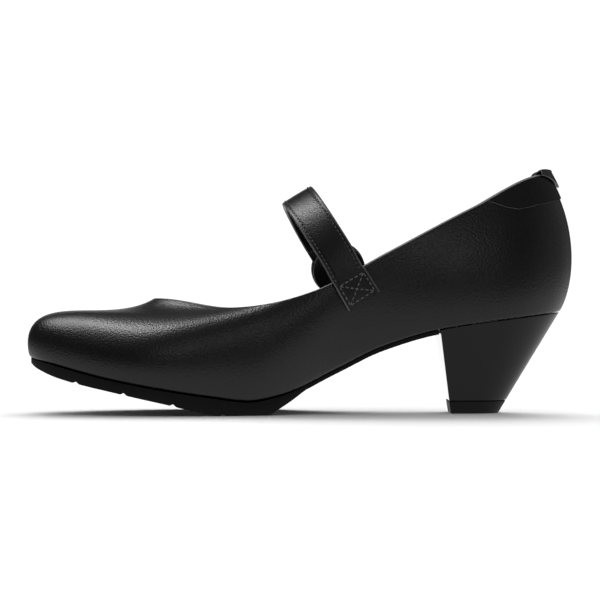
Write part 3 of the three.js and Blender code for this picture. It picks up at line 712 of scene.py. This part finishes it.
def heel_ring(height):
    """The heel's outline at a height that is a share of the way up, from the floor to the seat."""
    k = np.linspace(0, 1, 2 * HEEL_STEPS + 1)
    edge = rings[0](SEAT_ANGLE * (1 - 2 * k))
    reach = (edge[:, 0] - HEEL_FRONT) / (EDGE_BACK - HEEL_FRONT)
    half = abs(rings[0](np.array([SEAT_ANGLE]))[0, 1])
    top = np.stack([
        HEEL_FRONT + reach * (EDGE_BACK - SEAT_IN - HEEL_FRONT),
        edge[:, 1] * (1 - SEAT_IN / half), edge_height(edge[:, 0]) - 0.5,
    ], -1)
    foot = np.stack([
        HEEL_FRONT + FOOT_BACK + reach * FOOT_LONG, edge[:, 1] / half * FOOT_HALF, np.zeros(len(k)),
    ], -1)
    z = height(top[:, 2])
    ring_at = foot + (top - foot) * (z / top[:, 2])[:, None]
    ring_at[:, 2] = z
    front = np.linspace(ring_at[-1], ring_at[0], 12)[1:-1]
    return np.concatenate([ring_at, front])


def heel_part(name, low, high, count, looks, soft):
    rows = np.array([
        heel_ring(lambda top, t=t: low(top) + (high(top) - low(top)) * t) for t in np.linspace(0, 1, count)
    ])
    around = len(rows[0])
    kinds = np.zeros(around, int)
    kinds[2 * HEEL_STEPS:] = len(looks) - 1
    points = rows.reshape(-1, 3)
    faces, look = [], []
    for i in range(count - 1):
        for j in range(around):
            k = (j + 1) % around
            faces.append((i * around + j, i * around + k, (i + 1) * around + k, (i + 1) * around + j))
            look.append(kinds[j])
    for i in (0, count - 1):
        faces.append(tuple(range(i * around, (i + 1) * around)))
        look.append(0)
    return rounded(outward_faces(solid(name, points, faces, looks, look)), soft, 3, 40)


block = heel_part("heel_cover_block", lambda top: 5.8 + 0 * top, lambda top: top + 0.05, 26,
                  [heel_cover, heel_breast], 0.3)
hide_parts("heel_block")
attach(block, "shoe")

# ---------------------------------------------------------------- heel top piece
# A rubber top piece takes the wear under the heel. Two steel pins moulded in it are driven
# up into the block, and a hair line shows at the joint.

top_piece = heel_part("top_piece_rubber", lambda top: 0 * top, lambda top: 5.55 + 0 * top, 8,
                      [rubber], 0.35)
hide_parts("heel_top_piece")
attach(top_piece, "shoe")

# ---------------------------------------------------------------- strap
# A strap of two layers of calf crosses the instep. It is sewn flat to the inner quarter in a
# box with a cross in it, and arches over from there.

LEAN = math.radians(31.2)
across = np.array([math.cos(LEAN), 0, math.sin(LEAN)])
rising = np.array([-math.sin(LEAN), 0, math.cos(LEAN)])
STRAP_FOOT = np.array([26.4, 0, 48.8])
STRAP_HALF = 7.1
GAP = 0.3
BACKING, OUTER = 1.0, 1.2
STRAP_THICK = BACKING + GAP + OUTER
SEWN = 12.0
SEW_IN = 1.65
CREST_RISE = 55


def strap_point(y, u, w):
    y, u, w = np.broadcast_arrays(*(np.asarray(value, float) for value in (y, u, w)))
    point = STRAP_FOOT + rising * u[..., None] + across * (w - 0.033 * y)[..., None]
    point[..., 1] = y
    return point


def place_on(side, x, z):
    """The angle and rise of the upper's outer face at X and Z, on one side."""
    a = np.full(np.shape(x), np.pi / 2 if side < 0 else 3 * np.pi / 2)
    v = np.full(np.shape(x), 0.7)
    for _ in range(30):
        here = wall(a, v)
        da, dv = wall(a + 1e-4, v) - here, wall(a, v + 1e-4) - here
        ex, ez = (x - here[..., 0]) * 1e-4, (z - here[..., 2]) * 1e-4
        det = da[..., 0] * dv[..., 2] - dv[..., 0] * da[..., 2]
        a = a + np.clip((ex * dv[..., 2] - dv[..., 0] * ez) / det, -0.2, 0.2)
        v = v + np.clip((da[..., 0] * ez - ex * da[..., 2]) / det, -0.2, 0.2)
    return a, v


def on_quarter(side, u, w, height):
    flat = strap_point(side * 33, u, w)
    a, v = place_on(side, flat[..., 0], flat[..., 2])
    return layer(a, v, -np.asarray(height, float))


leave = on_quarter(-1, np.array(SEWN), np.array(0.0), GAP)
below = on_quarter(-1, np.array(SEWN - 2), np.array(0.0), GAP)
leave_lean = (leave[1] - below[1]) / 2

TAB_LEAN = math.radians(13)
TAB_RADIUS, EAR_RADIUS, PATCH_RADIUS = 12.3, 12.0, 9.8
TAB_CENTRE, TAB_ASIDE = 16.5, 1.2
tab_up = np.array([-math.sin(TAB_LEAN), math.cos(TAB_LEAN)])
tab_out = np.array([math.cos(TAB_LEAN), math.sin(TAB_LEAN)])
reach = np.linspace(-EAR_RADIUS, EAR_RADIUS, 13)
u_grid, w_grid = (grid.ravel() for grid in np.meshgrid(reach, reach, indexing="ij"))
kept = np.hypot(u_grid, w_grid) <= EAR_RADIUS + GAP
u_grid, w_grid = u_grid[kept], w_grid[kept]
flat = strap_point(33, TAB_CENTRE + u_grid * tab_up[1], w_grid + TAB_ASIDE)
seat_a, seat_v = place_on(1, flat[:, 0], flat[:, 2])
seat_face = layer(seat_a, np.minimum(seat_v, 1), -GAP)
EAR_SEAT = np.where(seat_v < 1.03, seat_face[:, 1] - u_grid * tab_up[0], 0).max()
NECK = TAB_RADIUS + 1.5
STACK = [0, 1.5, 2.6, 3.7, 5.0]

band_end = np.array([EAR_SEAT, TAB_CENTRE]) + tab_out * STACK[3] + tab_up * (NECK + GAP)
band_start = np.array([leave[1] + leave_lean * GAP, SEWN + GAP])
crest = np.array([(band_start[0] + band_end[0]) / 2 - 1, CREST_RISE - STRAP_THICK])
ROUND = 0.56


def bezier(points, t):
    p = [np.asarray(point, float) for point in points]
    t = np.asarray(t, float)[:, None]
    w = 1 - t
    return w ** 3 * p[0] + 3 * w * w * t * p[1] + 3 * w * t * t * p[2] + t ** 3 * p[3]


rise_side = bezier([
    band_start, band_start + np.array([leave_lean, 1]) * ROUND * (crest[1] - band_start[1]),
    [crest[0] - ROUND * (crest[0] - band_start[0]), crest[1]], crest,
], np.linspace(0, 1, 200))
fall_side = bezier([
    crest, [crest[0] + ROUND * (band_end[0] - crest[0]), crest[1]],
    band_end + tab_up * ROUND * (crest[1] - band_end[1]), band_end,
], np.linspace(0, 1, 200))
path = np.vstack([rise_side, fall_side[1:]])
run = np.concatenate([[0], np.cumsum(np.linalg.norm(np.diff(path, axis=0), axis=1))])
SPLIT = run[199] / run[-1]
slope_of = np.gradient(path, run, axis=0)


def band_point(t, w, height):
    """A point of the free band: t along it, w across it, height over its inner face."""
    t, w, height = np.broadcast_arrays(*(np.asarray(value, float) for value in (t, w, height)))
    at = t * run[-1]
    p = np.stack([np.interp(at, run, path[:, k]) for k in (0, 1)], -1)
    d = unit(np.stack([np.interp(at, run, slope_of[:, k]) for k in (0, 1)], -1))
    p = p + np.stack([-d[..., 1], d[..., 0]], -1) * height[..., None]
    curved = (1 - ease(t, 0, 0.3)) * np.interp(w, CURVE_W, CURVE_Y)
    return strap_point(p[..., 0] + curved, p[..., 1], w)


CURVE_W = np.linspace(-STRAP_HALF - 1.5, STRAP_HALF + 1.5, 17)
CURVE_Y = on_quarter(-1, np.full(17, SEWN), CURVE_W, GAP)[:, 1] - leave[1]


def strap_section(half, low, high, channel):
    """The strap's section: (w, height) round it, with round edges and two sewing channels."""
    thick = high - low
    bend = thick * 0.46
    top_w = np.linspace(-half + bend, half - bend, 29)
    dip = sum(np.exp(-((top_w - s * (half - SEW_IN)) / 0.42) ** 2) for s in (-1, 1))
    crown = 0.10 * (1 - (top_w / half) ** 2)
    top = [(w, high + c - channel * d) for w, c, d in zip(top_w, crown, dip)]
    right = [(half - bend + bend * math.sin(t), low + thick / 2 + thick / 2 * math.cos(t))
             for t in np.linspace(0.35, math.pi - 0.35, 7)]
    floor = [(w, low) for w in np.linspace(half - bend, -half + bend, 13)]
    left = [(-w, h) for w, h in right[::-1]]
    line = top + right + floor + left
    kinds = [0] * (len(top) - 1) + [1] * (len(right) + 1) + [0] * (len(floor) - 1) + [1] * (len(left) + 1)
    return np.array(line), np.array(kinds)


def cut_width(w, u, t=0.0):
    """Where a line of the strap at w runs: it is cut wider at its sewn end and over the instep."""
    over = ease(t, 0, 0.12) * (1 - ease(t, 0.75, 0.97))
    return w * (1 + 0.13 * (1 - ease(u, 0, 24)) + 0.06 * over) + 0.6 * over


def strap_rows(steps, section, sewn):
    """Rows of the strap's section up the sewn end, where sewn is true, and then along the band."""
    rows = []
    if sewn:
        for u in np.linspace(0, SEWN, 16):
            wide = cut_width(section[:, 0], u)
            rows.append(on_quarter(-1, np.full(len(section), u), wide, GAP + section[:, 1]))
    for t in steps:
        wide = cut_width(section[:, 0], SEWN + t * run[-1], t)
        rows.append(band_point(t, wide, section[:, 1]))
    return np.array(rows)


strap_calf = finish(
    "strap_calf", (0.0018, 0.0014, 0.0016), (0.0085, 0.0070, 0.0078), (0.4, 0.3),
    [("cloud", 10, EVEN, 0.35, 0), ("pebble", 0.65, EVEN, -0.45, -0.06), PORES],
    Specular_IOR_Level=0.24,
)
# The strap's rounded edges are coloured a lighter grey as a painted highlight: it stands for the light the
# edges catch from the white room.
strap_rim_highlight = finish(
    "strap_rim_painted_highlight", (0.022, 0.021, 0.022), (0.075, 0.072, 0.075), (0.45, 0.32),
    [("cloud", 5, EVEN, 0.5, 0), ("pore", 0.4, EVEN, 0.3, 0.02)],
)
outer_section, outer_kinds = strap_section(STRAP_HALF, BACKING + 0.15, STRAP_THICK, 0.16)
backing_section, backing_kinds = strap_section(STRAP_HALF - 0.15, 0, BACKING + 0.1, 0)
rise_steps = np.linspace(0.006, SPLIT, 56)
fall_steps = np.linspace(SPLIT, 1, 48)


def bends_at_quarter(piece):
    start, end = (band_point(t, 0.0, 1.25) for t in (0.0, 0.075))
    start = start - rising * 1.5
    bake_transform(piece)


strap_looks = [strap_calf, strap_rim_highlight]
outer_rows = strap_rows(rise_steps, outer_section, True)
backing_rows = strap_rows(rise_steps, backing_section, True)
strap_half = woven("strap_inner_half", outer_rows, strap_looks, outer_kinds)
backing_half = woven("strap_backing_inner_half", backing_rows, strap_looks, backing_kinds)
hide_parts("strap_anchor_outer", "strap_outer")
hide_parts("strap_anchor_backing", "strap_backing")
for piece in (strap_half, backing_half):
    outward_faces(piece)
    bends_at_quarter(piece)


def band_row(steps, w, pitch=2.05, share=0.66):
    w = cut_width(w, SEWN + steps * run[-1], steps)
    line = band_point(steps, w, STRAP_THICK + 0.02)
    out = unit(band_point(steps, w, STRAP_THICK + 1) - line)
    return row_along(line, out, pitch, share)


box_thread = finish(
    "waxed_grey_thread", (0.02, 0.019, 0.018), (0.15, 0.145, 0.14), (0.6, 0.45),
    [("thread", 0.5, (1, 1, 1), 0.7, 0.03)],
)
box_lines = []
box_u, box_w = (1.7, SEWN - 1.6), STRAP_HALF - SEW_IN
corners = [(box_u[0], -box_w), (box_u[0], box_w), (box_u[1], box_w), (box_u[1], -box_w)]
sides = list(zip(corners, corners[1:] + corners[:1]))
cross = [(corners[0], corners[2]), (corners[1], corners[3])]
for (u0, w0), (u1, w1) in sides + cross:
    t = np.linspace(0, 1, 30)
    u, w = u0 + (u1 - u0) * t, w0 + (w1 - w0) * t
    w = cut_width(w, u)
    line = on_quarter(-1, u, w, GAP + STRAP_THICK + 0.05)
    out = unit(on_quarter(-1, u, w, GAP + STRAP_THICK + 1) - line)
    box_lines.append(row_along(line, out, 2.3, 0.72))
box_row = stitches("strap_box_stitches", *joined(box_lines), [box_thread])
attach(box_row, "shoe")
edge_rows = [band_row(np.linspace(0.0, SPLIT, 160), s * (STRAP_HALF - SEW_IN)) for s in (-1, 1)]
rise_row = stitches("strap_inner_stitches", *joined(edge_rows), [thread_black])
bends_at_quarter(rise_row)

# ---------------------------------------------------------------- round end of the strap
# On the outer side the strap widens to a round end of the same two layers, and a hook patch
# sewn under it holds it to the tongue below.


def tab_frame(x, y, out):
    """A point of the round end: x along the strap's width, y up the strap, out of the shoe."""
    x, y, out = np.broadcast_arrays(*(np.asarray(value, float) for value in (x, y, out)))
    up = np.array([0, tab_up[0], 0]) + rising * tab_up[1]
    outer = np.array([0, tab_out[0], 0]) + rising * tab_out[1]
    centre = strap_point(EAR_SEAT, TAB_CENTRE, TAB_ASIDE)
    return centre - across * x[..., None] + up * y[..., None] + outer * out[..., None]


def tab_outline(count=72):
    """The round end's outline: the disc, and the neck's two sides up to the strap's width."""
    left, right = TAB_ASIDE - STRAP_HALF, TAB_ASIDE + STRAP_HALF
    start, stop = math.acos(left / TAB_RADIUS), 2 * math.pi + math.acos(right / TAB_RADIUS)
    turn = np.linspace(start, stop, count)
    disc = np.stack([TAB_RADIUS * np.cos(turn), TAB_RADIUS * np.sin(turn)], -1)
    sides = [np.linspace(disc[-1], [right, NECK], 6)[1:], np.linspace([right, NECK], [left, NECK], 12)[1:-1],
             np.linspace([left, NECK], disc[0], 6)[:-1]]
    return np.concatenate([disc, *sides])


def flat_piece(name, line, low, high, looks, edge=0, dome=0.1):
    """A flat piece of leather cut to a closed line, with a rounded rim."""
    middle = line.mean(0)
    thick = high - low
    inward = unit(np.stack([-(np.roll(line, -1, 0) - np.roll(line, 1, 0))[:, 1],
                            (np.roll(line, -1, 0) - np.roll(line, 1, 0))[:, 0]], -1))
    inward *= np.sign(((middle - line) * inward).sum(-1).mean())
    rows, kinds = [], []
    bend = 0.42 * thick
    for t in np.linspace(0.15, math.pi - 0.15, 9):
        rows.append((line + inward * bend * (1 - math.sin(t)), low + thick / 2 - thick / 2 * math.cos(t), 1))
    for share in (0.08, 0.25, 0.5, 0.75, 0.95):
        rim = line + inward * bend
        rows.append((rim + (middle - rim) * share, high + dome * share, 0))
    points = [tab_frame(at[:, 0], at[:, 1], height) for at, height, _ in rows]
    points = np.concatenate([*points, tab_frame(*middle, high + dome)[None], tab_frame(*middle, low)[None]])
    count = len(line)
    faces, look = [], []
    for i in range(len(rows) - 1):
        for j in range(count):
            k = (j + 1) % count
            faces.append((i * count + j, i * count + k, (i + 1) * count + k, (i + 1) * count + j))
            look.append(edge if rows[i][2] and rows[i + 1][2] else 0)
    top, last = len(rows) * count, (len(rows) - 1) * count
    for j in range(count):
        k = (j + 1) % count
        faces += [(last + j, last + k, top), (k, j, top + 1)]
        look += [0, 0]
    return outward_faces(solid(name, points, faces, looks, look))


tab_line = tab_outline()
tab_parts = [
    flat_piece("round_end_outer", tab_line, STACK[3] + BACKING + 0.15, STACK[4] + OUTER, strap_looks, 1),
    flat_piece(
        "round_end_backing", tab_line * 0.995, STACK[3], STACK[3] + BACKING + 0.1, strap_looks, 1, 0,
    ),
]
for piece, node in zip(tab_parts, ("strap_tab_outer", "strap_tab_backing")):
    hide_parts(node)


def bends_at_neck(piece):
    start = band_point(0.93, 0.0, 1.25)
    end = tab_frame(TAB_ASIDE, TAB_RADIUS - 1, STACK[3] + 1.25)
    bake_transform(piece)


outer_rows = strap_rows(fall_steps, outer_section, False)
backing_rows = strap_rows(fall_steps, backing_section, False)
fall_outer = woven("strap_outer_half", outer_rows, strap_looks, outer_kinds)
fall_backing = woven("strap_backing_outer_half", backing_rows, strap_looks, backing_kinds)
fall_lines = [band_row(np.linspace(SPLIT, 1, 160), s * (STRAP_HALF - SEW_IN)) for s in (-1, 1)]
turn = np.linspace(math.pi - 1.0, 2 * math.pi + 1.05, 200)
sewn_radius = TAB_RADIUS - SEW_IN
ring_line = tab_frame(sewn_radius * np.cos(turn), sewn_radius * np.sin(turn), STACK[4] + OUTER + 0.03)
ring_out = np.broadcast_to(unit(tab_frame(0, 0, 1) - tab_frame(0, 0, 0)), ring_line.shape)
fall_lines.append(row_along(ring_line, ring_out, 2.05, 0.66))
fall_row = stitches("strap_outer_stitches", *joined(fall_lines), [thread_black])
for piece in (outward_faces(fall_outer), outward_faces(fall_backing), fall_row, *tab_parts):
    bends_at_neck(piece)

# ---------------------------------------------------------------- fastening
# A round tongue of calf stands up from the outer quarter and carries the loop patch. The hook
# patch rides on the round end; both are woven nylon, cut round and sewn.

hook_and_loop = finish(
    "nylon_hook_and_loop", (0.003, 0.003, 0.003), (0.030, 0.030, 0.031), (1.0, 0.85),
    [("pebble", 0.6, EVEN, 0.6, 0.18), ("pore", 0.3, EVEN, 0.4, 0.12)], Sheen_Weight=0.3,
)


def round_line(radius, count=72):
    turn = np.arange(count) * 2 * math.pi / count
    return np.stack([radius * np.cos(turn), radius * np.sin(turn)], -1)


ear = flat_piece("fastening_tongue", round_line(EAR_RADIUS), 0, 1.2, strap_looks, 1, 0)
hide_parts("fastening_ear")
patch_line = round_line(PATCH_RADIUS)
loop_side = flat_piece("loop_patch_nylon", patch_line, STACK[1] - 0.3, 2.3, [hook_and_loop], 0, 0.1)
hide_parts("loop_patch")
hook_side = flat_piece(
    "hook_patch_nylon", patch_line, STACK[2] - 0.1, STACK[3] + 0.05, [hook_and_loop], 0, 0,
)
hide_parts("hook_patch")
for piece, body, slot in ((ear, "shoe", "upper_leather"), (loop_side, "shoe", "hook_and_loop"),
                          (hook_side, "strap_tab", "hook_and_loop")):
    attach(piece, body)

# ---------------------------------------------------------------- floor, light and camera
# A plain white floor in a soft white studio, with a broad light from behind that throws the
# shadow forwards. Three soft lamps, over the toe and in front, show only in the leather's gloss.

floor_mesh = bpy.data.meshes.new("floor")
floor_mesh.from_pydata([(-3, -3, 0), (3, -3, 0), (3, 3, 0), (-3, 3, 0)], [], [(0, 1, 2, 3)])
floor = bpy.data.objects.new("floor", floor_mesh)
bpy.context.scene.collection.objects.link(floor)
white_floor = bpy.data.materials.new("white_floor")
white_floor.use_nodes = True
floor_shader = white_floor.node_tree.nodes["Principled BSDF"]
floor_shader.inputs["Base Color"].default_value = (0.8, 0.8, 0.8, 1)
floor_shader.inputs["Roughness"].default_value = 0.9
floor_shader.inputs["Specular IOR Level"].default_value = 0.1
floor.visible_glossy = False
floor_mesh.materials.append(white_floor)

world = bpy.data.worlds.new("studio")
world.use_nodes = True
bpy.context.scene.world = world
nodes, links = world.node_tree.nodes, world.node_tree.links
background = nodes["Background"]
path_kind = nodes.new("ShaderNodeLightPath").outputs
facing = nodes.new("ShaderNodeTexCoord").outputs["Generated"]
parts = nodes.new("ShaderNodeSeparateXYZ")
links.new(facing, parts.inputs[0])


def glow(side, start, full, low, high):
    """How bright the studio is along one axis, from low at start to high at full."""
    turn = nodes.new("ShaderNodeMapRange")
    turn.interpolation_type = "SMOOTHSTEP"
    for socket, value in (("From Min", start), ("From Max", full), ("To Min", low), ("To Max", high)):
        turn.inputs[socket].default_value = value
    links.new(parts.outputs[side], turn.inputs["Value"])
    return turn.outputs["Result"]


sky = nodes.new("ShaderNodeMath")
links.new(glow("Z", -0.25, 0.03, 1.05, 0.045), sky.inputs[0])
links.new(glow("X", 0.45, 0.95, 0.0, 0.4), sky.inputs[1])
for light in (glow("Y", 0.9, 0.98, 0.0, 0.85), glow("Z", 0.5, 1.0, 0.0, 0.2)):
    more = nodes.new("ShaderNodeMath")
    links.new(sky.outputs[0], more.inputs[0])
    links.new(light, more.inputs[1])
    sky = more


def either(when, usual, special):
    """One brightness for most rays and another, a number or a node's, for rays of one kind."""
    mix = nodes.new("ShaderNodeMix")
    links.new(path_kind[when], mix.inputs["Factor"])
    links.new(usual, mix.inputs["A"])
    if hasattr(special, "links"):
        links.new(special, mix.inputs["B"])
    else:
        mix.inputs["B"].default_value = special
    return mix.outputs["Result"]


lit = either("Is Diffuse Ray", sky.outputs[0], glow("Z", 0.0, 0.9, 0.15, 0.9))
links.new(either("Is Camera Ray", lit, 1.1), background.inputs["Strength"])
background.inputs["Color"].default_value = (1, 1, 1, 1)


def softbox(name, where, aim, size, watts):
    """A soft lamp that shows only in the gloss of the leather."""
    lamp = bpy.data.lights.new(name, "AREA")
    lamp.shape = "RECTANGLE"
    lamp.size, lamp.size_y = size
    lamp.energy = watts
    box = bpy.data.objects.new(name, lamp)
    box.location = where
    box.rotation_euler = (Vector(aim) - Vector(where)).to_track_quat("-Z", "Y").to_euler()
    box.visible_diffuse = False
    bpy.context.scene.collection.objects.link(box)


softbox("overhead_softbox", (-0.255, 0.03, 0.33), (-0.09, 0, 0.03), (0.2, 0.21), 1.1)
softbox("toe_softbox", (-0.122, -0.04, 0.33), (-0.066, 0, 0.04), (0.14, 0.045), 0.55)
softbox("front_softbox", (0.13, -1.0, 0.45), (0.05, 0, 0.06), (0.14, 0.2), 0.6)

back_lamp = bpy.data.lights.new("soft_back_light", "SUN")
back_lamp.energy, back_lamp.angle = 2.9, math.radians(50)
back_light = bpy.data.objects.new("soft_back_light", back_lamp)
back_light.rotation_euler = (math.radians(-40), 0, 0)
back_light.visible_glossy = False
bpy.context.scene.collection.objects.link(back_light)

bpy.context.scene.view_settings.view_transform = "Standard"
bpy.context.scene.view_settings.look = "None"

lens = bpy.data.cameras.new("studio_camera")
lens.lens = 149.66
lens.sensor_width = 36
lens.clip_start = 0.01
camera = bpy.data.objects.new("studio_camera", lens)
camera.location = (0, -1.1, 0.0497)
camera.rotation_euler = (math.radians(90), 0, 0)
bpy.context.scene.collection.objects.link(camera)
bpy.context.scene.camera = camera


def plain(box):
    return [[float(value) for value in corner] for corner in box]
